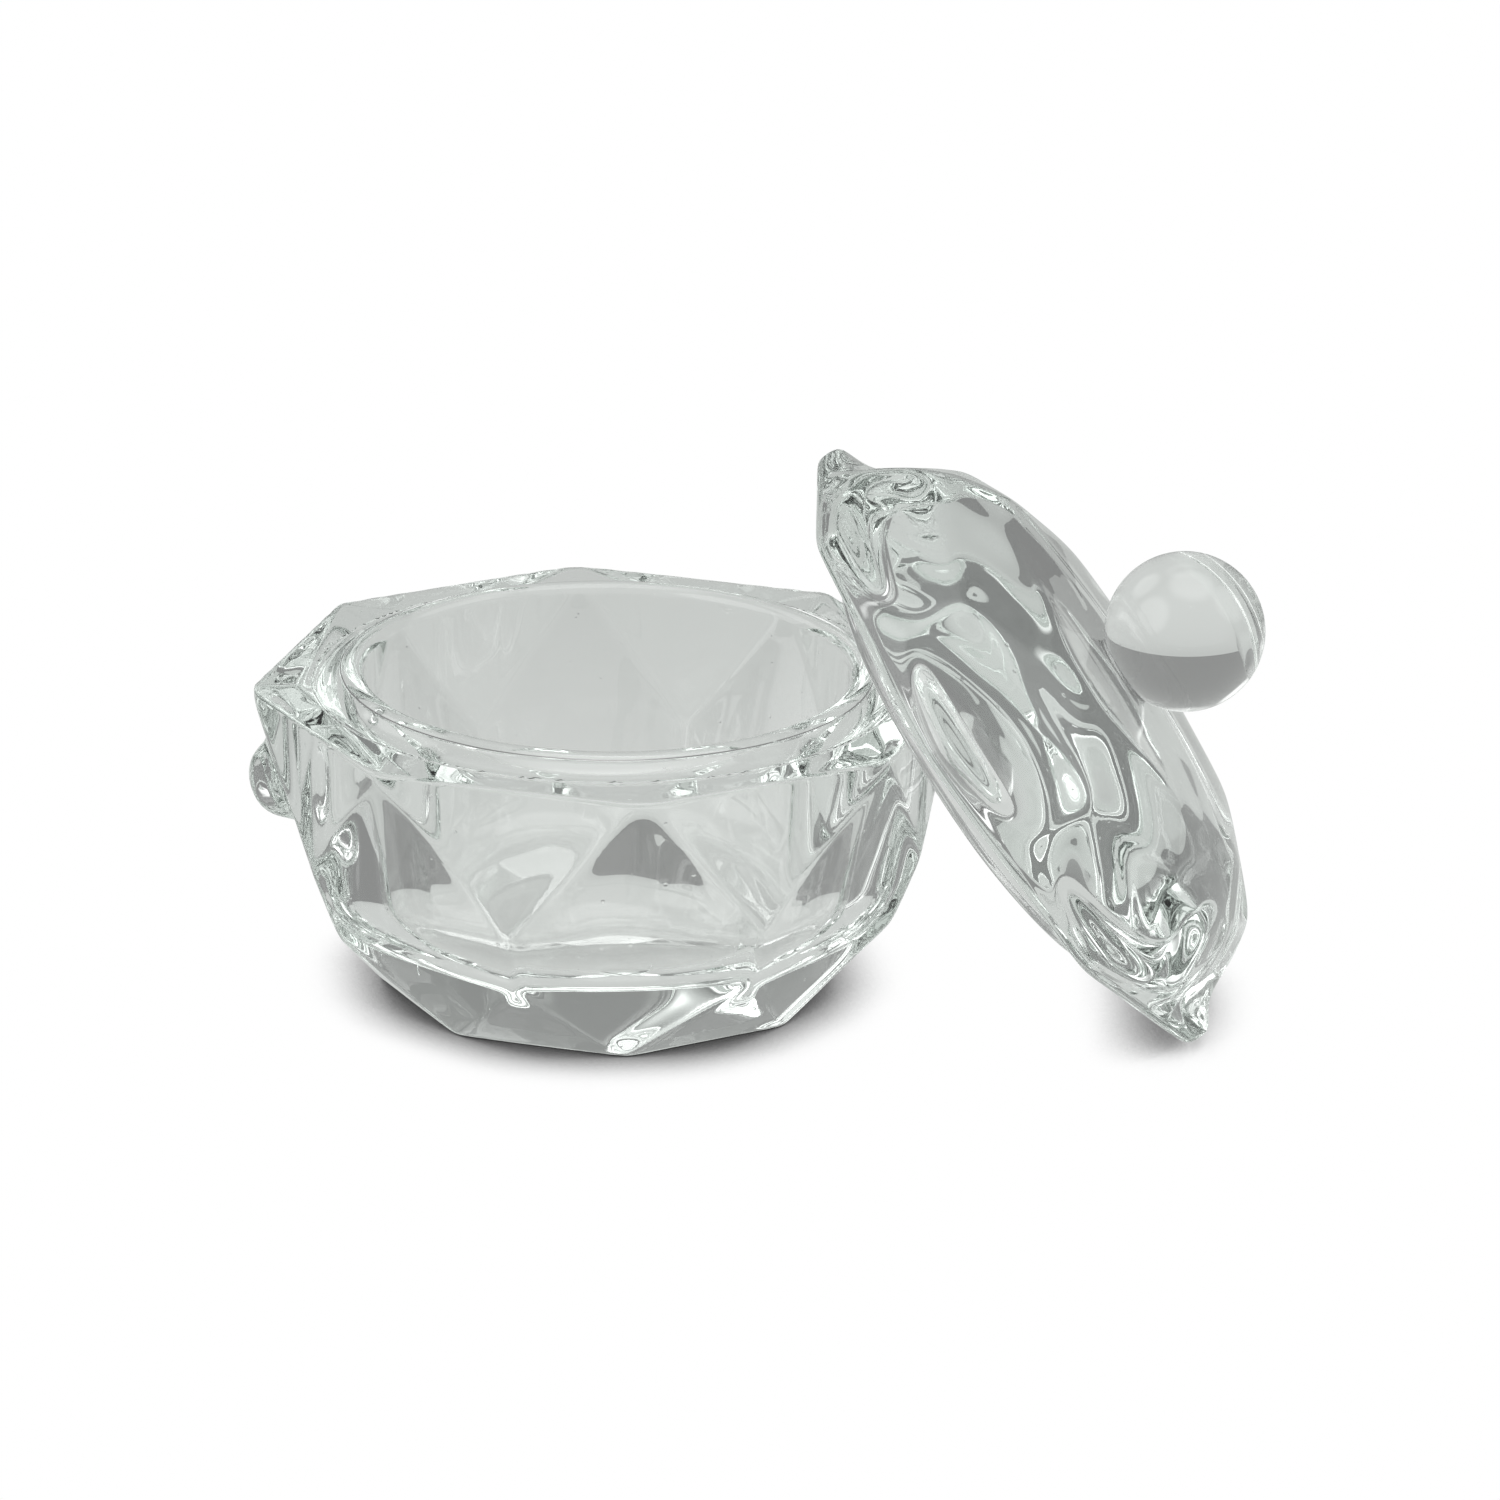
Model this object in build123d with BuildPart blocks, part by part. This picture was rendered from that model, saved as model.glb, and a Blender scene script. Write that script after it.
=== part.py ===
from build123d import *
import os
from math import cos, radians, sin, sqrt, tan

os.makedirs("parts", exist_ok=True)

# Lidded faceted glass dappen dish, millimetres.
# Frame: origin at the centre of the bowl's foot on the floor, Z up, X through the rim corner
# that the lid leans on.  The lid is off the bowl: one flat of its flange stands on the floor and
# its underside leans on that rim corner.

# ---- overall octagon shared by bowl and lid ----
SIDES = 8
STEP = 360.0 / SIDES
HALF = STEP / 2.0
CORNER_R = 30.0                                # bowl rim, centre to corner
FLAT_R = CORNER_R * cos(radians(HALF))         # rim flat-to-centre distance

# ---- bowl, outside ----
RIM_Z = 26.3                                   # height of the flat rim
FOOT_R = 19.3                                  # foot octagon, corner radius
GIRDLE_R = 25.2                                # widest line of the lower facets, corner radius
GIRDLE_Z = 7.5
SHOULDER_Z = 13.4                              # where the upright triangles start between the panels
CUT_CORNER_R = 29.6                            # every second rim corner is cut to this distance
EDGE = 0.35                                    # small rounding along the rim and foot

# ---- bowl, well ----
MOUTH_R = 20.2
WELL_Z = 7.0                                   # flat floor of the well
WELL_DRAFT = 1.5                               # taper of the well's wall, degrees
WELL_FILLET = 5.0                              # rounding between the wall and the floor
LIP_TOP_Z = 27.7                               # raised round lip about the mouth
LIP_BASE_R = 23.2
LIP_TOP_R = 21.9
LIP_EDGE = 0.6                                 # rounding of the lip's two edges

# ---- bowl, rounded lug under one rim corner ----
LUG_R = 3.1
LUG_X = -26.95
LUG_Z = 18.7

# ---- lid, in its own frame: origin on the underside of the flange, z along the knob ----
LID_CORNER_R = 29.4                            # centre to flange corner
FLANGE_T = 2.9                                 # flange thickness
FLANGE_CORNER = 2.5                            # rounding of the flange corners in plan
DOME_BASE_R = 28.5                             # lower ring of the steep facets, corner radius
DOME_RING_R = 24.4                             # upper ring of the steep facets, corner radius
DOME_RING_Z = 9.1
TABLE_R = 17.1                                 # flat top octagon, corner radius
TABLE_Z = 12.8
RING_R = 19.7                                  # locating ring under the lid, outside
RING_IN_R = 16.6
RING_H = 2.5
HOLLOW_D = 2.8                                 # depth of the domed hollow inside the ring

# ---- ball knob and the clear bond under it ----
BALL_R = 6.65
BALL_Z = 18.75                                 # ball centre above the underside of the flange
BOND_T = 0.15
BOND_R = 3.15

# ---- how the lid leans ----
LEAN_EL = 36.3                                 # lid axis above the horizontal
LEAN_AZ = -7.5                                 # lid axis round the bowl's axis
LID_X = 31.85
LID_Y = -8.55
FLOOR_GAP = 0.05


def facet(base, azimuth, r1, z1, r2, z2):
    """Plane of a facet that faces azimuth and holds the points (r1, z1) and (r2, z2)."""
    a = radians(azimuth)
    dr = r2 - r1
    dz = z2 - z1
    length = sqrt(dr * dr + dz * dz)
    nr = dz / length
    nz = -dr / length
    origin = base.from_local_coords(Vector(r1 * cos(a), r1 * sin(a), z1))
    tip = base.from_local_coords(Vector(r1 * cos(a) + nr * cos(a), r1 * sin(a) + nr * sin(a), z1 + nz))
    return Plane(origin=origin, z_dir=tip - origin)


floor_plane = Plane.XY

# lid frame
el = radians(LEAN_EL)
az = radians(LEAN_AZ)
lid_axis = Vector(cos(el) * cos(az), cos(el) * sin(az), sin(el))
lid_down = Vector(sin(el) * cos(az), sin(el) * sin(az), -cos(el))
lid_side = lid_axis.cross(lid_down)
lid_corner_dir = lid_down * cos(radians(HALF)) + lid_side * sin(radians(HALF))
LID_Z = LID_CORNER_R * cos(radians(HALF)) * cos(el) + FLOOR_GAP
lid_plane = Plane(origin=(LID_X, LID_Y, LID_Z), x_dir=lid_corner_dir, z_dir=lid_axis)

# ---- bowl ----
girdle_flat = GIRDLE_R * cos(radians(HALF))
foot_flat = FOOT_R * cos(radians(HALF))
panel_slope = (CORNER_R - girdle_flat) / (RIM_Z - GIRDLE_Z)
shoulder_r = (girdle_flat + (SHOULDER_Z - GIRDLE_Z) * panel_slope) / cos(radians(HALF))

draft = tan(radians(WELL_DRAFT))
well_floor_r = MOUTH_R - (LIP_TOP_Z - WELL_Z) * draft
well_open_z = LIP_TOP_Z + 1.0                  # the cut runs on past the lip
well_open_r = MOUTH_R + (well_open_z - LIP_TOP_Z) * draft

with BuildPart() as bowl:
    # blank
    with BuildSketch(floor_plane):
        Circle(CORNER_R + 2.0)
    extrude(amount=RIM_Z)
    for i in range(SIDES):
        to_corner = i * STEP
        to_flat = to_corner + HALF
        # tall panels that end in a point at each rim corner
        split(bisect_by=facet(floor_plane, to_corner, girdle_flat, GIRDLE_Z, CORNER_R, RIM_Z), keep=Keep.BOTTOM)
        # upright triangles between the panels
        split(bisect_by=facet(floor_plane, to_flat, shoulder_r, SHOULDER_Z, FLAT_R, RIM_Z), keep=Keep.BOTTOM)
        # lower band of alternating triangles
        split(bisect_by=facet(floor_plane, to_flat, foot_flat, 0.0, GIRDLE_R, GIRDLE_Z), keep=Keep.BOTTOM)
        split(bisect_by=facet(floor_plane, to_corner, FOOT_R, 0.0, girdle_flat, GIRDLE_Z), keep=Keep.BOTTOM)
    for i in range(4):
        # every second rim corner is cut off flat
        split(bisect_by=facet(floor_plane, i * 90.0, CUT_CORNER_R, 0.0, CUT_CORNER_R, RIM_Z), keep=Keep.BOTTOM)
    # softened rim and foot edges
    rim_edges = bowl.faces().sort_by(Axis.Z)[-1].edges()
    chamfer(rim_edges, length=EDGE)
    foot_edges = bowl.faces().sort_by(Axis.Z)[0].edges()
    chamfer(foot_edges, length=EDGE)
    # rounded lug under one rim corner
    with Locations((LUG_X, 0.0, LUG_Z)):
        Sphere(LUG_R)
    # raised round lip about the mouth
    with BuildSketch(Plane.XZ):
        with BuildLine():
            Polyline(
                (MOUTH_R - 1.5, RIM_Z - 1.0),
                (LIP_BASE_R, RIM_Z - 1.0),
                (LIP_BASE_R, RIM_Z),
                (LIP_TOP_R, LIP_TOP_Z),
                (MOUTH_R - 1.5, LIP_TOP_Z),
                close=True,
            )
        make_face()
    revolve(axis=Axis.Z)
    # round well: nearly straight wall, large rounding, flat floor
    with BuildSketch(Plane.XZ):
        with BuildLine():
            FilletPolyline((0.0, WELL_Z), (well_floor_r, WELL_Z), (well_open_r, well_open_z), radius=WELL_FILLET)
            Polyline((well_open_r, well_open_z), (0.0, well_open_z), (0.0, WELL_Z))
        make_face()
    revolve(axis=Axis.Z, mode=Mode.SUBTRACT)
    lip_edges = bowl.edges().filter_by(GeomType.CIRCLE).filter_by(
        lambda e: abs(e.center().Z - LIP_TOP_Z) < 0.01
    )
    fillet(lip_edges, radius=LIP_EDGE)
bowl.part.label = "bowl"
export_step(bowl.part, "parts/bowl.step")

# ---- lid ----
ring_flat = DOME_RING_R * cos(radians(HALF))
base_flat = DOME_BASE_R * cos(radians(HALF))
table_flat = TABLE_R * cos(radians(HALF))
hollow_sphere_r = (RING_IN_R * RING_IN_R + HOLLOW_D * HOLLOW_D) / (2.0 * HOLLOW_D)

with BuildPart() as lid:
    # faceted dome
    with BuildSketch(lid_plane):
        RegularPolygon(LID_CORNER_R, SIDES)
    extrude(amount=TABLE_Z)
    for i in range(SIDES):
        to_corner = i * STEP
        to_flat = to_corner + HALF
        # steep facets that face the flange corners
        split(bisect_by=facet(lid_plane, to_corner, base_flat, FLANGE_T, ring_flat, DOME_RING_Z), keep=Keep.BOTTOM)
        # crown of alternating triangles round the flat top
        split(bisect_by=facet(lid_plane, to_corner, ring_flat, DOME_RING_Z, TABLE_R, TABLE_Z), keep=Keep.BOTTOM)
        split(bisect_by=facet(lid_plane, to_flat, DOME_RING_R, DOME_RING_Z, table_flat, TABLE_Z), keep=Keep.BOTTOM)
    # flange with pointed corners
    with BuildSketch(lid_plane):
        RegularPolygon(LID_CORNER_R, SIDES)
        fillet(vertices(), radius=FLANGE_CORNER)
    extrude(amount=FLANGE_T)
    # shallow domed hollow under the lid
    with Locations(lid_plane.offset(HOLLOW_D - hollow_sphere_r)):
        Sphere(hollow_sphere_r, mode=Mode.SUBTRACT)
    # locating ring round the hollow
    with BuildSketch(lid_plane):
        Circle(RING_R)
        Circle(RING_IN_R, mode=Mode.SUBTRACT)
    extrude(amount=-RING_H)
lid.part.label = "lid"
export_step(lid.part, "parts/lid.step")

# ---- clear bond between lid and knob ----
bond_plane = lid_plane.offset(TABLE_Z)
with BuildPart() as knob_bond:
    with BuildSketch(bond_plane):
        Circle(BOND_R)
    extrude(amount=BOND_T)
knob_bond.part.label = "knob_bond"
export_step(knob_bond.part, "parts/knob_bond.step")

# ---- ball knob with a small ground flat ----
ball_plane = lid_plane.offset(BALL_Z)
flat_plane = lid_plane.offset(TABLE_Z + BOND_T)
with BuildPart() as ball_knob:
    with Locations(ball_plane):
        Sphere(BALL_R)
    split(bisect_by=flat_plane, keep=Keep.TOP)
ball_knob.part.label = "ball_knob"
export_step(ball_knob.part, "parts/ball_knob.step")
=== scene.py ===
import math

import bmesh
import bpy
import numpy as np
from mathutils import Matrix, Vector, noise


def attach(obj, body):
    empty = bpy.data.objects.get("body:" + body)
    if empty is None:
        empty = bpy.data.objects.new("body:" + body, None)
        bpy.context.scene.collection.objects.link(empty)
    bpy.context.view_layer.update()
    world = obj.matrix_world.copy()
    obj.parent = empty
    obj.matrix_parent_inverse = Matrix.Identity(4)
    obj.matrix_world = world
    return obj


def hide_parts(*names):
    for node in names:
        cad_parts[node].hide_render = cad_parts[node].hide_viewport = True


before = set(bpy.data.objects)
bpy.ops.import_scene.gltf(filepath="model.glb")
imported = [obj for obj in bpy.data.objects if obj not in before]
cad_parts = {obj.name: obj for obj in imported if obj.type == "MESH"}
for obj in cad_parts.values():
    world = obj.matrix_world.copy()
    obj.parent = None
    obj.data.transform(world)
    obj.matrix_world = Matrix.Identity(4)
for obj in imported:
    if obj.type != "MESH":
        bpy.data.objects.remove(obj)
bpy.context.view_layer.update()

MM = 0.001

# ---------------------------------------------------------------- dimensions, millimetres
SIDES = 8
STEP = 360.0 / SIDES
HALF = STEP / 2.0
COS_HALF = math.cos(math.radians(HALF))

CORNER_R = 30.0
FLAT_R = CORNER_R * COS_HALF
RIM_Z = 26.3
FOOT_R = 19.3
GIRDLE_R = 25.2
GIRDLE_Z = 7.5
SHOULDER_Z = 13.4
CUT_CORNER_R = 29.6
MOUTH_R = 20.2
WELL_Z = 7.0
WELL_DRAFT = 1.5
WELL_FILLET = 5.0
LIP_TOP_Z = 27.7
LIP_BASE_R = 23.2
LIP_TOP_R = 21.9
LUG_R = 3.1
LUG_X = 26.95
LUG_Z = 18.7

LID_CORNER_R = 29.4
LID_FLAT_R = LID_CORNER_R * COS_HALF
FLANGE_T = 2.9
DOME_BASE_R = 28.5
DOME_RING_R = 24.4
DOME_RING_Z = 9.1
TABLE_R = 17.1
TABLE_Z = 12.8
RING_R = 19.7
RING_IN_R = 16.6
RING_H = 2.5
HOLLOW_D = 2.8
BALL_R = 6.65
BALL_Z = 18.75
BOND_T = 0.15
BOND_R = 3.15

LEAN_EL = math.radians(36.3)
LEAN_AZ = math.radians(-7.5)
LID_X = 31.85
LID_Y = -8.55
FLOOR_GAP = 0.05

# ---------------------------------------------------------------- softness of the pressed edges, millimetres
RING_STEP = 0.5                                # widest spacing of mesh rings along a turned profile
BOWL_TURNS = 352
BOWL_SOFT = 0.12
LUG_TAIL = 1.25
LUG_BLEND = 0.35
RIM_FAN_R = 24.6
RIM_FAN_Z = 24.8
FOOT_FAN_R = 16.0
FOOT_FAN_Z = 1.2
LID_TURNS = 432
LID_SOFT = 0.25
FLANGE_SOFT = 0.5
LID_BLEND = 0.6
LID_FAN_R = 24.0
LID_FAN_Z = 1.45
LIP_IN_EDGE = 1.0                              # roundings of the lip: mouth, outer edge, foot on the rim
LIP_OUT_EDGE = 1.4
LIP_FOOT_EDGE = 3.5
RING_FOOT_EDGE = 0.4                           # roundings of the locating ring: foot, then its two edges
RING_EDGE = 0.7
BOND_EDGE = 0.05
BOND_SINK_LID = 0.08                           # overlap of the bond with the lid and the ball, so no air gap shows
BOND_SINK_BALL = 0.03
WAVE_DEPTH = 0.08                              # waviness of the pressed surfaces: depth and length
WAVE_LENGTH = 10.0

# ---------------------------------------------------------------- mesh rings of each piece
RIM_FAN_RINGS = 28
SIDE_RINGS = 78
FOOT_FAN_RINGS = 24
BOTTOM_RINGS = 20
LID_TOP_RINGS = 60
LID_FAN_RINGS = 72
HOLLOW_RINGS = 48
BALL_TURNS = 192
BALL_RINGS = 96
FLAT_RINGS = 6
BOND_TURNS = 96


# ---------------------------------------------------------------- mesh helpers
def polar(r, degrees, z):
    a = math.radians(degrees)
    return Vector((r * math.cos(a), r * math.sin(a), z))


def facet(azimuth, r1, z1, r2, z2):
    """Plane of a facet that faces azimuth and holds the points (r1, z1) and (r2, z2)."""
    length = math.hypot(z2 - z1, r2 - r1)
    nr, nz = (z2 - z1) / length, (r1 - r2) / length
    a = math.radians(azimuth)
    return (nr * math.cos(a), nr * math.sin(a), nz), nr * r1 + nz * z1


def level(z, up):
    """Horizontal plane at height z with its outside up (1) or down (-1)."""
    return (0.0, 0.0, up), up * z


def inside_of(planes, softness):
    """Distance field of a convex body: below 0 inside the planes, with edges rounded by softness."""
    normals = np.array([p[0] for p in planes])
    offsets = np.array([p[1] for p in planes])

    def field(points):
        d = points @ normals.T - offsets
        top = d.max(axis=1, keepdims=True)
        return (top + softness * np.log(np.exp((d - top) / softness).sum(axis=1, keepdims=True)))[:, 0]

    return field


def joined(first, second, softness):
    """Field of two bodies melted together, with a concave rounding of about softness between them."""

    def field(points):
        a, b = first(points), second(points)
        low = np.minimum(a, b)
        return low - softness * np.log(np.exp((low - a) / softness) + np.exp((low - b) / softness))

    return field


def trimmed(base, planes, softness):
    """Field of what is left of a body inside some planes, with rounded edges."""
    normals = np.array([p[0] for p in planes])
    offsets = np.array([p[1] for p in planes])

    def field(points):
        d = np.concatenate([base(points)[:, None], points @ normals.T - offsets], axis=1)
        top = d.max(axis=1, keepdims=True)
        return (top + softness * np.log(np.exp((d - top) / softness).sum(axis=1, keepdims=True)))[:, 0]

    return field


def cast(field, starts, directions, reach):
    """Where rays that start inside a body leave it."""
    near = np.zeros(len(starts))
    far = np.full(len(starts), reach)
    for _ in range(42):
        middle = 0.5 * (near + far)
        out = field(starts + directions * middle[:, None]) > 0.0
        far = np.where(out, middle, far)
        near = np.where(out, near, middle)
    return starts + directions * far[:, None]


def ring_of_rays(field, r, z, elevation, turns, reach=60.0):
    """One closed ring of surface points, cast outward from the circle (r, z) at one elevation."""
    a = np.arange(turns) * 2.0 * math.pi / turns
    el = math.radians(elevation)
    starts = np.stack([r * np.cos(a), r * np.sin(a), np.full(turns, z)], axis=1)
    flat = math.cos(el)
    directions = np.stack([flat * np.cos(a), flat * np.sin(a), np.full(turns, math.sin(el))], axis=1)
    return cast(field, starts, directions, reach)


def turned_ring(r, z, turns):
    a = np.arange(turns) * 2.0 * math.pi / turns
    return np.stack([r * np.cos(a), r * np.sin(a), np.full(turns, z)], axis=1)


def skin(rings, first_z, last_z):
    """A closed surface through rings of points, from one point on the axis to another."""
    bm = bmesh.new()
    turns = len(rings[0])
    start = bm.verts.new((0.0, 0.0, first_z))
    end = bm.verts.new((0.0, 0.0, last_z))
    loops = [[bm.verts.new(p) for p in ring] for ring in rings]
    for k in range(turns):
        j = (k + 1) % turns
        bm.faces.new((start, loops[0][k], loops[0][j]))
        for a, b in zip(loops, loops[1:]):
            bm.faces.new((a[k], b[k], b[j], a[j]))
        bm.faces.new((loops[-1][k], end, loops[-1][j]))
    bmesh.ops.recalc_face_normals(bm, faces=bm.faces[:])
    return bm


def rounded(points, radii, arc_steps=6):
    """A polyline in (r, z) whose inner corners are turned into arcs."""
    out = [Vector(points[0])]
    for i in range(1, len(points) - 1):
        p = Vector(points[i])
        a = (Vector(points[i - 1]) - p).normalized()
        b = (Vector(points[i + 1]) - p).normalized()
        radius = radii[i]
        if radius <= 0.0:
            out.append(p)
            continue
        half = a.angle(b) / 2.0
        reach = radius / math.tan(half)
        centre = p + (a + b).normalized() * (radius / math.sin(half))
        start = p + a * reach - centre
        sweep = start.angle_signed(p + b * reach - centre)
        for k in range(arc_steps + 1):
            t = -sweep * k / arc_steps
            c, s = math.cos(t), math.sin(t)
            out.append(centre + Vector((c * start.x - s * start.y, s * start.x + c * start.y)))
    out.append(Vector(points[-1]))
    return out


def spaced(points, step):
    """The same polyline with long runs divided."""
    out = [points[0]]
    for a, b in zip(points, points[1:]):
        n = max(1, math.ceil((b - a).length / step))
        out += [a.lerp(b, k / n) for k in range(1, n + 1)]
    return out


def uneven(bm, amount, size, seed):
    """The slight waviness of pressed glass: every point moves in along its normal by a smooth random depth."""
    bm.normal_update()
    shift = Vector((seed * 13.7, seed * 5.1, seed * 9.3))
    moves = []
    for v in bm.verts:
        coarse = noise.noise(v.co / size + shift)
        fine = noise.noise(v.co / (size * 0.31) + shift * 2.0)
        moves.append(v.normal * (amount * (0.9 * coarse + 0.1 * fine - 1.05)))
    for v, m in zip(bm.verts, moves):
        v.co += m


def finish_piece(bm, name, matrix, body, nodes, material):
    bm.transform(matrix)
    mesh = bpy.data.meshes.new(name)
    bm.to_mesh(mesh)
    bm.free()
    for p in mesh.polygons:
        p.use_smooth = True
    obj = bpy.data.objects.new(name, mesh)
    bpy.context.scene.collection.objects.link(obj)
    mesh.materials.append(material)
    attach(obj, body)
    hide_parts(*nodes)


# ---------------------------------------------------------------- materials
# noise sizes are in cells to a metre, depths in metres
RIPPLE_SCALE = 1400.0
RIPPLE_DEPTH = 0.0000001
PIT_DEPTH = 0.00002


def glass(name, ior, wave_scale, wave_depth, pit_scale):
    """Clear glass: long pressed waves, fine ripple and a few tiny pits, slightly green in depth."""
    mat = bpy.data.materials.new(name)
    mat.use_nodes = True
    nodes, links = mat.node_tree.nodes, mat.node_tree.links
    nodes.clear()
    out = nodes.new("ShaderNodeOutputMaterial")
    shader = nodes.new("ShaderNodeBsdfPrincipled")
    shader.inputs["Base Color"].default_value = (0.998, 1.0, 0.998, 1.0)
    shader.inputs["Transmission Weight"].default_value = 1.0
    shader.inputs["IOR"].default_value = ior
    shader.inputs["Roughness"].default_value = 0.0
    coords = nodes.new("ShaderNodeTexCoord")
    wave = nodes.new("ShaderNodeTexNoise")
    wave.inputs["Scale"].default_value = wave_scale
    wave.inputs["Detail"].default_value = 2.0
    wave.inputs["Distortion"].default_value = 0.6
    ripple = nodes.new("ShaderNodeTexNoise")
    ripple.inputs["Scale"].default_value = RIPPLE_SCALE
    ripple.inputs["Detail"].default_value = 3.0
    pits = nodes.new("ShaderNodeTexVoronoi")
    pits.inputs["Scale"].default_value = pit_scale
    pit_edge = nodes.new("ShaderNodeMapRange")
    pit_edge.interpolation_type = "SMOOTHSTEP"
    pit_edge.inputs["From Min"].default_value = 0.03
    pit_edge.inputs["From Max"].default_value = 0.09
    for texture in (wave, ripple, pits):
        links.new(coords.outputs["Object"], texture.inputs["Vector"])
    links.new(pits.outputs["Distance"], pit_edge.inputs["Value"])
    normal = None
    for height, depth in (
        (wave.outputs["Fac"], wave_depth),
        (ripple.outputs["Fac"], RIPPLE_DEPTH),
        (pit_edge.outputs["Result"], PIT_DEPTH),
    ):
        bump = nodes.new("ShaderNodeBump")
        bump.inputs["Distance"].default_value = depth
        links.new(height, bump.inputs["Height"])
        if normal:
            links.new(normal, bump.inputs["Normal"])
        normal = bump.outputs["Normal"]
    links.new(normal, shader.inputs["Normal"])
    absorb = nodes.new("ShaderNodeVolumeAbsorption")
    absorb.inputs["Color"].default_value = (0.83, 0.90, 0.86, 1.0)
    absorb.inputs["Density"].default_value = 9.0
    links.new(shader.outputs["BSDF"], out.inputs["Surface"])
    links.new(absorb.outputs["Volume"], out.inputs["Volume"])
    return mat


PRESSED = glass("pressed_glass", 1.52, 200.0, 0.000003, 420.0)
LID_GLASS = glass("lid_pressed_glass", 1.52, 200.0, 0.000003, 380.0)
POLISHED = glass("polished_ball_glass", 1.52, 120.0, 0.000002, 520.0)
BOND_CLEAR = glass("clear_bond", 1.50, 600.0, 0.000002, 900.0)


# ---------------------------------------------------------------- bowl
def make_bowl():
    girdle_flat = GIRDLE_R * COS_HALF
    foot_flat = FOOT_R * COS_HALF
    slope = (CORNER_R - girdle_flat) / (RIM_Z - GIRDLE_Z)
    shoulder_r = (girdle_flat + (SHOULDER_Z - GIRDLE_Z) * slope) / COS_HALF
    planes = [level(RIM_Z, 1.0), level(0.0, -1.0)]
    for i in range(SIDES):
        corner = i * STEP
        flat = corner + HALF
        planes.append(facet(corner, girdle_flat, GIRDLE_Z, CORNER_R, RIM_Z))
        planes.append(facet(flat, shoulder_r, SHOULDER_Z, FLAT_R, RIM_Z))
        planes.append(facet(flat, foot_flat, 0.0, GIRDLE_R, GIRDLE_Z))
        planes.append(facet(corner, FOOT_R, 0.0, girdle_flat, GIRDLE_Z))
    for i in range(4):
        planes.append(facet(i * 90.0, CUT_CORNER_R, 0.0, CUT_CORNER_R, RIM_Z))

    def lug(points):
        d = points - np.array((-LUG_X, 0.0, LUG_Z))
        d[:, 2] = np.where(d[:, 2] < 0.0, d[:, 2] / LUG_TAIL, d[:, 2])
        return np.linalg.norm(d, axis=1) - LUG_R

    body = joined(inside_of(planes, BOWL_SOFT), lug, LUG_BLEND)

    floor_r = MOUTH_R - (LIP_TOP_Z - WELL_Z) * math.tan(math.radians(WELL_DRAFT))
    profile = rounded(
        [
            (0.0, WELL_Z), (floor_r, WELL_Z), (MOUTH_R, LIP_TOP_Z),
            (LIP_TOP_R, LIP_TOP_Z), (LIP_BASE_R, RIM_Z), (RIM_FAN_R, RIM_Z),
        ],
        [0.0, WELL_FILLET, LIP_IN_EDGE, LIP_OUT_EDGE, LIP_FOOT_EDGE, 0.0], 10,
    )
    profile = spaced(profile, RING_STEP)
    rings = [turned_ring(p.x, p.y, BOWL_TURNS) for p in profile[1:]]
    for k in range(1, RIM_FAN_RINGS + 1):
        elevation = 90.0 * (1.0 - k / RIM_FAN_RINGS)
        rings.append(ring_of_rays(body, RIM_FAN_R, RIM_FAN_Z, elevation, BOWL_TURNS))
    for k in range(1, SIDE_RINGS):
        z = RIM_FAN_Z + (FOOT_FAN_Z - RIM_FAN_Z) * k / SIDE_RINGS
        rings.append(ring_of_rays(body, FOOT_FAN_R, z, 0.0, BOWL_TURNS))
    for k in range(FOOT_FAN_RINGS + 1):
        elevation = -90.0 * k / FOOT_FAN_RINGS
        rings.append(ring_of_rays(body, FOOT_FAN_R, FOOT_FAN_Z, elevation, BOWL_TURNS))
    for k in range(1, BOTTOM_RINGS):
        rings.append(turned_ring(FOOT_FAN_R * (1.0 - k / BOTTOM_RINGS), 0.0, BOWL_TURNS))
    bm = skin(rings, WELL_Z, 0.0)
    uneven(bm, WAVE_DEPTH, WAVE_LENGTH, 1.0)
    return bm


finish_piece(
    make_bowl(), "faceted_bowl", Matrix.Scale(MM, 4), "bowl", ["bowl"], PRESSED
)

# ---------------------------------------------------------------- lid
EL_C, EL_S = math.cos(LEAN_EL), math.sin(LEAN_EL)
AZ_C, AZ_S = math.cos(LEAN_AZ), math.sin(LEAN_AZ)
AXIS = Vector((EL_C * AZ_C, EL_C * AZ_S, EL_S))
DOWN = Vector((EL_S * AZ_C, EL_S * AZ_S, -EL_C))
SIDE = AXIS.cross(DOWN)
LID_X_DIR = DOWN * COS_HALF + SIDE * math.sin(math.radians(HALF))
LID_Y_DIR = AXIS.cross(LID_X_DIR)
LID_ORIGIN = Vector((LID_X, LID_Y, LID_FLAT_R * EL_C + FLOOR_GAP))
LID_MATRIX = Matrix((
    (LID_X_DIR.x, LID_Y_DIR.x, AXIS.x, LID_ORIGIN.x),
    (LID_X_DIR.y, LID_Y_DIR.y, AXIS.y, LID_ORIGIN.y),
    (LID_X_DIR.z, LID_Y_DIR.z, AXIS.z, LID_ORIGIN.z),
    (0, 0, 0, 1),
))
LID_MATRIX = Matrix.Scale(MM, 4) @ LID_MATRIX


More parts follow.
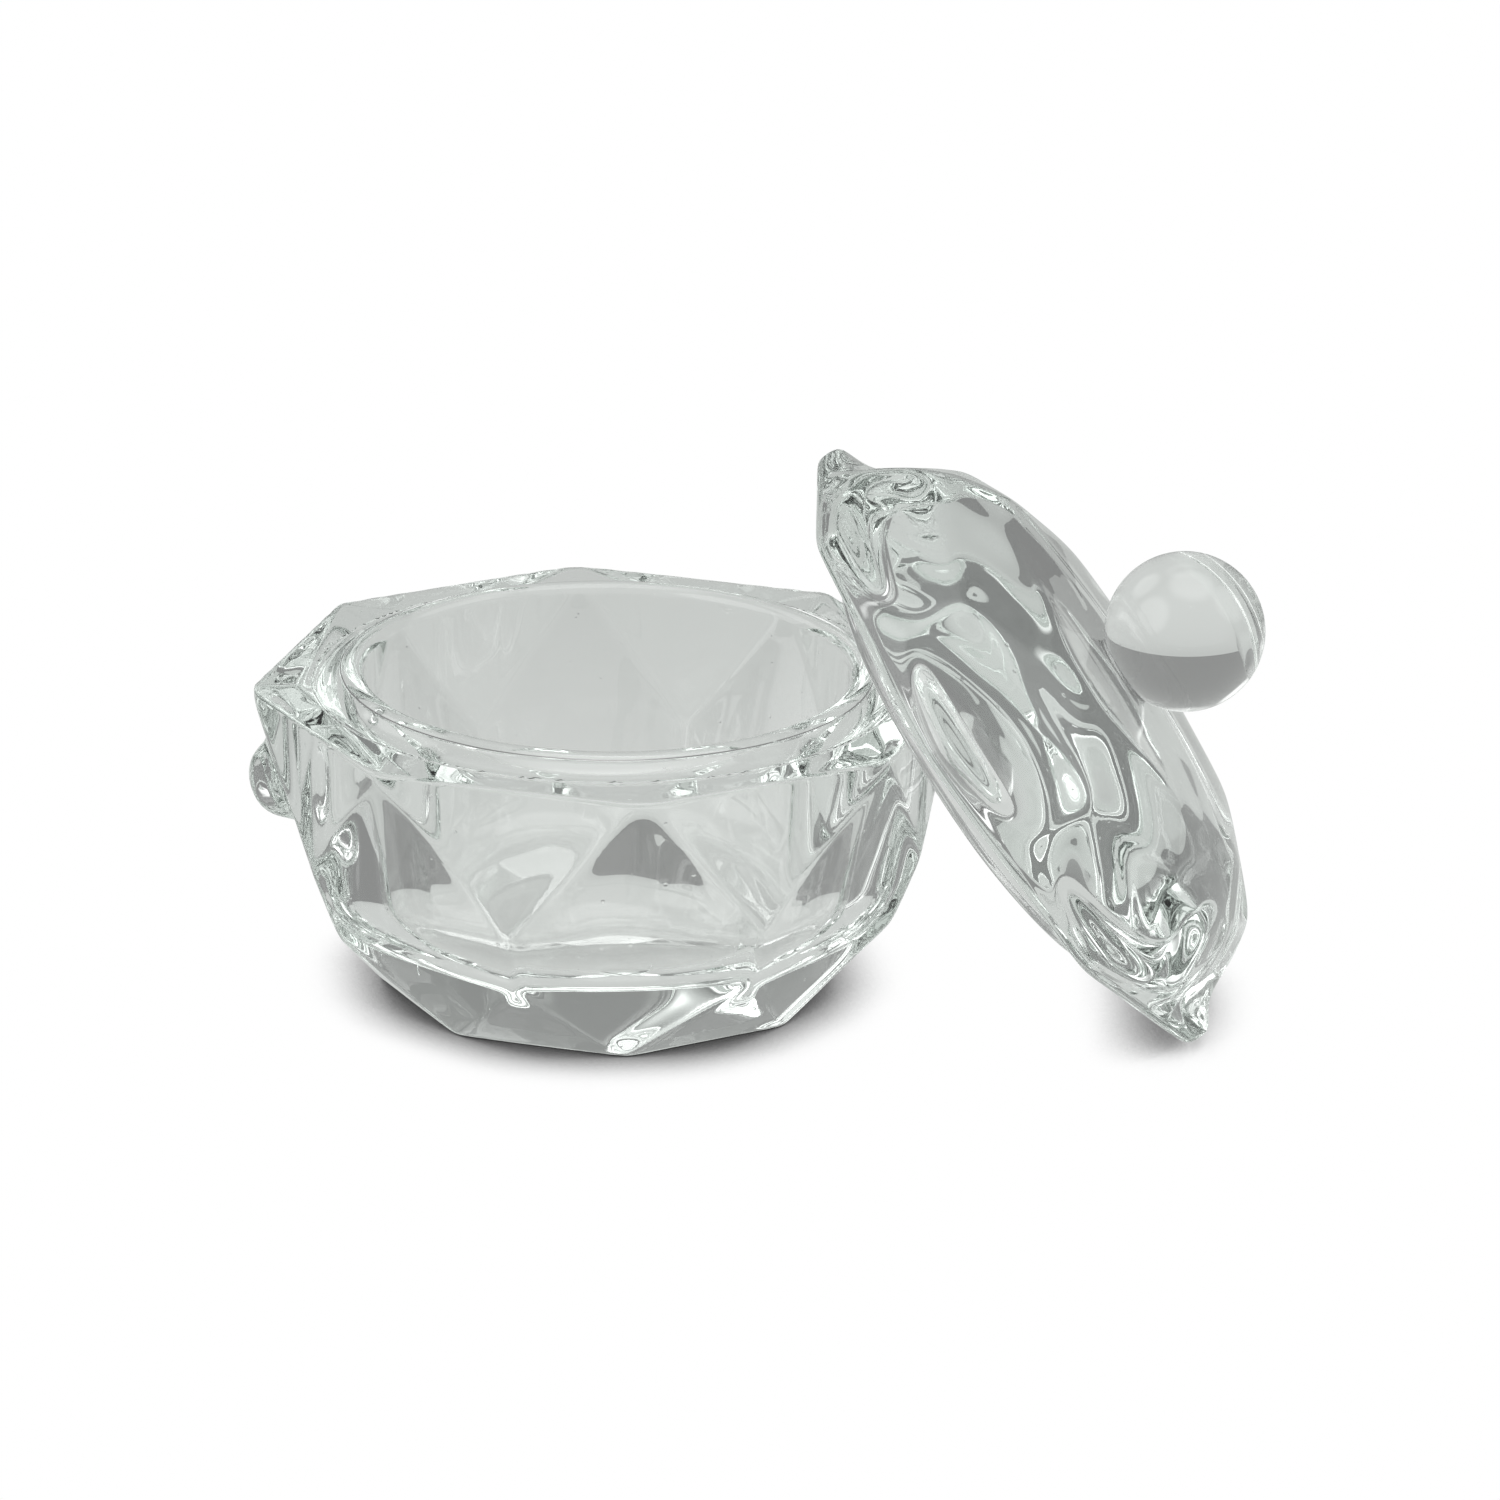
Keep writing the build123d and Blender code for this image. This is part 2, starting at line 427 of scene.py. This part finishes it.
def make_lid():
    base_flat = DOME_BASE_R * COS_HALF
    ring_flat = DOME_RING_R * COS_HALF
    table_flat = TABLE_R * COS_HALF
    dome = [level(TABLE_Z, 1.0)]
    sides = [level(0.0, -1.0)]
    for i in range(SIDES):
        corner = i * STEP
        flat = corner + HALF
        dome.append(facet(corner, base_flat, FLANGE_T, ring_flat, DOME_RING_Z))
        dome.append(facet(corner, ring_flat, DOME_RING_Z, TABLE_R, TABLE_Z))
        dome.append(facet(flat, DOME_RING_R, DOME_RING_Z, table_flat, TABLE_Z))
        sides.append(facet(flat, LID_FLAT_R, 0.0, LID_FLAT_R, TABLE_Z))
    flange_top = inside_of([level(FLANGE_T, 1.0)], LID_SOFT)
    body = trimmed(joined(inside_of(dome, LID_SOFT), flange_top, LID_BLEND), sides, FLANGE_SOFT)

    rings = []
    for k in range(1, LID_TOP_RINGS + 1):
        rings.append(ring_of_rays(body, LID_FAN_R * k / LID_TOP_RINGS, LID_FAN_Z, 90.0, LID_TURNS))
    for k in range(1, LID_FAN_RINGS + 1):
        elevation = 90.0 - 180.0 * k / LID_FAN_RINGS
        rings.append(ring_of_rays(body, LID_FAN_R, LID_FAN_Z, elevation, LID_TURNS))
    profile = rounded(
        [
            (LID_FAN_R, 0.0), (RING_R, 0.0), (RING_R, -RING_H), (RING_IN_R, -RING_H), (RING_IN_R, 0.0),
        ],
        [0.0, RING_FOOT_EDGE, RING_EDGE, RING_EDGE, 0.0], 6,
    )
    sphere_r = (RING_IN_R ** 2 + HOLLOW_D ** 2) / (2.0 * HOLLOW_D)
    for k in range(1, HOLLOW_RINGS + 1):
        r = RING_IN_R * (1.0 - k / HOLLOW_RINGS)
        profile.append(Vector((r, math.sqrt(sphere_r ** 2 - r ** 2) - sphere_r + HOLLOW_D)))
    profile = spaced(profile, RING_STEP)
    rings += [turned_ring(p.x, p.y, LID_TURNS) for p in profile[1:-1]]
    bm = skin(rings, TABLE_Z, profile[-1].y)
    uneven(bm, WAVE_DEPTH, WAVE_LENGTH, 2.0)
    return bm


finish_piece(make_lid(), "faceted_lid", LID_MATRIX, "lid", ["lid"], LID_GLASS)


# ---------------------------------------------------------------- ball knob and its bond
def make_turned(profile, turns):
    rings = [turned_ring(p.x, p.y, turns) for p in profile[1:-1]]
    return skin(rings, profile[0].y, profile[-1].y)


def make_ball():
    flat = TABLE_Z + BOND_T
    drop = BALL_Z - flat
    start = math.acos(-drop / BALL_R)
    profile = [Vector((0.0, flat))]
    flat_r = math.sqrt(BALL_R ** 2 - drop ** 2)
    profile += [Vector((flat_r * k / FLAT_RINGS, flat)) for k in range(1, FLAT_RINGS)]
    for k in range(BALL_RINGS + 1):
        t = start * (1.0 - k / BALL_RINGS)
        profile.append(Vector((BALL_R * math.sin(t), BALL_Z + BALL_R * math.cos(t))))
    profile[-1].x = 0.0
    return make_turned(profile, BALL_TURNS)


def make_bond():
    low, high = TABLE_Z - BOND_SINK_LID, TABLE_Z + BOND_T + BOND_SINK_BALL
    corners = [(0.0, low), (BOND_R, low), (BOND_R, high), (0.0, high)]
    profile = rounded(corners, [0.0, BOND_EDGE, BOND_EDGE, 0.0], 3)
    return make_turned(spaced(profile, 0.8), BOND_TURNS)


finish_piece(make_ball(), "ball_knob_glass", LID_MATRIX, "lid", ["ball_knob"], POLISHED)
finish_piece(make_bond(), "knob_bond_film", LID_MATRIX, "lid", ["knob_bond"], BOND_CLEAR)


# ---------------------------------------------------------------- floor, light, camera
# reach of the ambient occlusion that paints the contact shadows on the floor, in metres
PAINTED_SHADOW_REACH = 0.009
TENT_BASE = 0.24
# soft panels of the tent: azimuth and elevation of the middle, half width, soft edge in degrees, brightness
TENT_PANELS = (
    (200.0, 30.0, 24.0, 6.0, 1.6),
    (-10.0, 36.0, 20.0, 6.0, 1.1),
    (270.0, 28.0, 60.0, 20.0, 0.75),
    (0.0, 84.0, 24.0, 8.0, 1.6),
    (140.0, 40.0, 14.0, 5.0, 1.3),
    (90.0, 62.0, 14.0, 5.0, 0.5),
)


def studio_world():
    """White where the camera looks past the object; a soft tent, open at the back, for everything else."""
    world = bpy.data.worlds.new("light_tent")
    bpy.context.scene.world = world
    world.use_nodes = True
    nodes, links = world.node_tree.nodes, world.node_tree.links
    nodes.clear()
    out = nodes.new("ShaderNodeOutputWorld")
    seen = nodes.new("ShaderNodeBackground")
    seen.inputs["Color"].default_value = (1.0, 1.0, 1.0, 1.0)
    coords = nodes.new("ShaderNodeTexCoord")
    total = None
    for azimuth, elevation, half_width, soft, value in TENT_PANELS:
        el = math.radians(elevation)
        towards = polar(math.cos(el), azimuth, math.sin(el))
        dot = nodes.new("ShaderNodeVectorMath")
        dot.operation = "DOT_PRODUCT"
        dot.inputs[1].default_value = towards
        links.new(coords.outputs["Generated"], dot.inputs[0])
        edge = nodes.new("ShaderNodeMapRange")
        edge.interpolation_type = "SMOOTHSTEP"
        edge.inputs["From Min"].default_value = math.cos(math.radians(half_width + soft))
        edge.inputs["From Max"].default_value = math.cos(math.radians(half_width - soft))
        edge.inputs["To Min"].default_value = 0.0
        edge.inputs["To Max"].default_value = value
        links.new(dot.outputs["Value"], edge.inputs["Value"])
        add = nodes.new("ShaderNodeMath")
        add.operation = "ADD"
        add.inputs[1].default_value = TENT_BASE
        links.new(edge.outputs["Result"], add.inputs[0])
        if total:
            links.new(total, add.inputs[1])
        total = add.outputs["Value"]
    tent = nodes.new("ShaderNodeBackground")
    tent.inputs["Color"].default_value = (0.99, 1.0, 0.992, 1.0)
    links.new(total, tent.inputs["Strength"])
    mix = nodes.new("ShaderNodeMixShader")
    path = nodes.new("ShaderNodeLightPath")
    links.new(path.outputs["Is Camera Ray"], mix.inputs["Fac"])
    links.new(tent.outputs["Background"], mix.inputs[1])
    links.new(seen.outputs["Background"], mix.inputs[2])
    links.new(mix.outputs["Shader"], out.inputs["Surface"])


# The floor is not a lit surface. The camera sees a white glow darkened by ambient occlusion, so its contact
# shadows are painted shade. All other rays see a self-lit table that dims towards the back, a painted stand-in for
# light falling on the floor.
def pale_floor():
    mesh = bpy.data.meshes.new("pale_floor")
    x0, x1, y0, y1 = -0.8, 0.8, -0.8, 0.25
    mesh.from_pydata([(x0, y0, 0), (x1, y0, 0), (x1, y1, 0), (x0, y1, 0)], [], [(0, 1, 2, 3)])
    floor = bpy.data.objects.new("pale_floor", mesh)
    bpy.context.scene.collection.objects.link(floor)
    mat = bpy.data.materials.new("pale_table_painted_shadow")
    mat.use_nodes = True
    nodes, links = mat.node_tree.nodes, mat.node_tree.links
    nodes.clear()
    out = nodes.new("ShaderNodeOutputMaterial")
    # painted shadow: ambient occlusion sets how brightly the floor glows for the camera, near black close to the
    # glass
    closed = nodes.new("ShaderNodeAmbientOcclusion")
    closed.samples = 12
    closed.inputs["Distance"].default_value = PAINTED_SHADOW_REACH
    painted_contact_shadow = nodes.new("ShaderNodeMapRange")
    painted_contact_shadow.interpolation_type = "SMOOTHSTEP"
    painted_contact_shadow.inputs["From Min"].default_value = 0.12
    painted_contact_shadow.inputs["From Max"].default_value = 0.62
    painted_contact_shadow.inputs["To Min"].default_value = 0.03
    painted_contact_shadow.inputs["To Max"].default_value = 1.0
    seen = nodes.new("ShaderNodeEmission")
    links.new(closed.outputs["AO"], painted_contact_shadow.inputs["Value"])
    links.new(painted_contact_shadow.outputs["Result"], seen.inputs["Strength"])
    # painted light: the self-lit table that the glass sees, a little dimmer towards the back
    glow = nodes.new("ShaderNodeEmission")
    glow.inputs["Color"].default_value = (0.97, 1.0, 0.975, 1.0)
    place = nodes.new("ShaderNodeNewGeometry")
    split = nodes.new("ShaderNodeSeparateXYZ")
    fade = nodes.new("ShaderNodeMapRange")
    fade.inputs["From Min"].default_value = 0.03
    fade.inputs["From Max"].default_value = 0.20
    fade.inputs["To Min"].default_value = 0.64
    fade.inputs["To Max"].default_value = 0.53
    links.new(place.outputs["Position"], split.inputs["Vector"])
    links.new(split.outputs["Y"], fade.inputs["Value"])
    links.new(fade.outputs["Result"], glow.inputs["Strength"])
    mix = nodes.new("ShaderNodeMixShader")
    path = nodes.new("ShaderNodeLightPath")
    links.new(path.outputs["Is Camera Ray"], mix.inputs["Fac"])
    links.new(glow.outputs["Emission"], mix.inputs[1])
    links.new(seen.outputs["Emission"], mix.inputs[2])
    links.new(mix.outputs["Shader"], out.inputs["Surface"])
    mesh.materials.append(mat)


studio_world()
pale_floor()

camera_data = bpy.data.cameras.new("camera")
camera_data.sensor_width = 36.0
camera_data.lens = 171.4
camera_data.clip_start = 0.05
camera_data.clip_end = 20.0
camera = bpy.data.objects.new("camera", camera_data)
bpy.context.scene.collection.objects.link(camera)
CAMERA_AT = Vector((-0.0558, -0.5592, 0.2275))
CAMERA_AIM = Vector((0.01222, 0.00100, 0.01928))
CAMERA_ROLL = math.radians(0.97)
camera.location = CAMERA_AT
turn = (CAMERA_AIM - CAMERA_AT).to_track_quat("-Z", "Y").to_matrix() @ Matrix.Rotation(CAMERA_ROLL, 3, "Z")
camera.rotation_euler = turn.to_euler()
bpy.context.scene.camera = camera

scene = bpy.context.scene
scene.view_settings.view_transform = "Standard"
scene.cycles.max_bounces = 24
scene.cycles.transmission_bounces = 24
scene.cycles.glossy_bounces = 12
scene.cycles.transparent_max_bounces = 12
